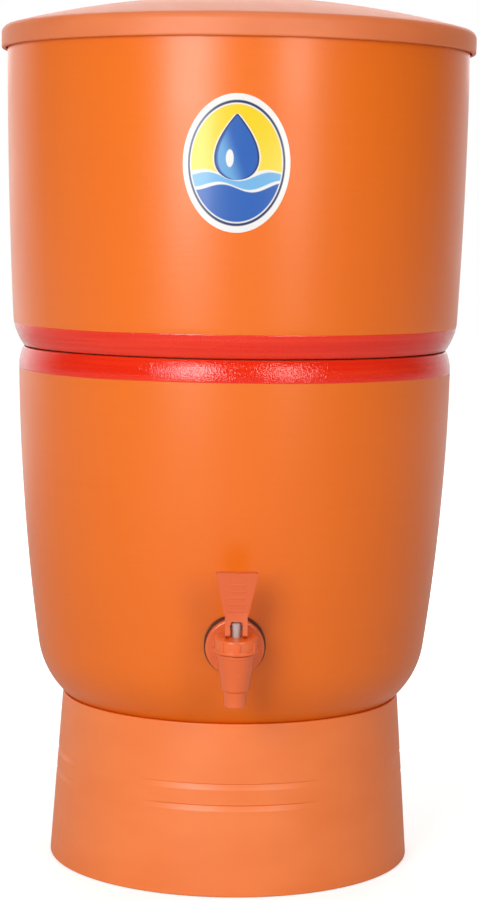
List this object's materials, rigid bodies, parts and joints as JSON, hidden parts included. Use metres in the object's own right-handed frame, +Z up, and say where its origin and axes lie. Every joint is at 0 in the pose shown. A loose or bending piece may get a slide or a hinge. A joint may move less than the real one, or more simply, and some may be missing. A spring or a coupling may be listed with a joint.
{
  "type": "gravity water filter",
  "caption": "Free-standing gravity water filter: domed lid, clay upper chamber with candle, clay bowl with lever tap, conical stand.",
  "frame": {"origin": "centre of the stand's foot, on the surface that it stands on", "axes": "+Z up, the tap faces -Y, +X to the right seen from the front"},
  "size_m": [0.27, 0.29, 0.4936],
  "materials": {
    "painted_clay": "satin painted fired clay",
    "stand_plastic": "moulded, fine matte",
    "lid_plastic": "moulded, fine matte",
    "tap_plastic": "semi-gloss",
    "stem_plastic": "translucent natural",
    "dark_rubber": "matte",
    "red_rubber": "matte",
    "spring_steel": "drawn wire",
    "sticker_film": "printed film",
    "white_ceramic": "unglazed porous",
    "activated_carbon": "granular matte",
    "white_plastic": "satin",
    "blue_plastic": "satin",
    "pin_steel": "polished pin"
  },
  "bodies": {
    "stand": {"base_stand": "stand_plastic"},
    "bowl": {"lower_chamber": "painted_clay", "tap_front_gasket": "dark_rubber", "tap_rear_gasket": "dark_rubber", "tap_lock_nut": "tap_plastic", "tap_body": "tap_plastic", "tap_cap_nut": "tap_plastic", "tap_spring": "spring_steel"},
    "valve_stem": {"tap_stem": "stem_plastic", "tap_seat_cup": "red_rubber", "lever_pin": "pin_steel"},
    "lever": {"tap_lever": "tap_plastic"},
    "upper": {"upper_chamber": "painted_clay", "front_label": "sticker_film", "candle_shell": "white_ceramic", "candle_carbon": "activated_carbon", "candle_base": "blue_plastic", "candle_upper_washer": "dark_rubber", "candle_lower_washer": "dark_rubber", "candle_wing_nut": "blue_plastic", "float_valve_body": "white_plastic", "float_hinge_pin": "pin_steel"},
    "float_lever": {"float_arm": "white_plastic", "float_valve_pad": "red_rubber", "float": "blue_plastic"},
    "cover": {"lid": "lid_plastic"}
  },
  "joints": [
    {"name": "bowl_lift", "type": "slide", "parent": "stand", "child": "bowl", "axis": [0, 0, 1], "range_m": [0, 0.04]},
    {"name": "upper_lift", "type": "slide", "parent": "bowl", "child": "upper", "axis": [0, 0, 1], "range_m": [0, 0.12]},
    {"name": "lid_lift", "type": "slide", "parent": "upper", "child": "cover", "axis": [0, 0, 1], "range_m": [0, 0.06]},
    {"name": "stem_lift", "type": "slide", "parent": "bowl", "child": "valve_stem", "axis": [0, -0.1257, 0.9921], "range_m": [0, 0.0022], "deforming": ["tap_spring"]},
    {"name": "lever_tilt", "type": "hinge", "parent": "valve_stem", "child": "lever", "pos_m": [0, -0.14359, 0.15654], "axis": [1, 0, 0], "range_deg": [0, 50], "stiffness_Nm_per_rad": 0.012, "springref_deg": -28.65},
    {"name": "float_swing", "type": "hinge", "parent": "upper", "child": "float_lever", "pos_m": [-0.013, 0, 0.2534], "axis": [0, -1, 0], "range_deg": [0, 24]}
  ],
  "couplings": [
    {"joint": "stem_lift", "follows": "lever_tilt", "m_per_rad": 0.0025}
  ]
}
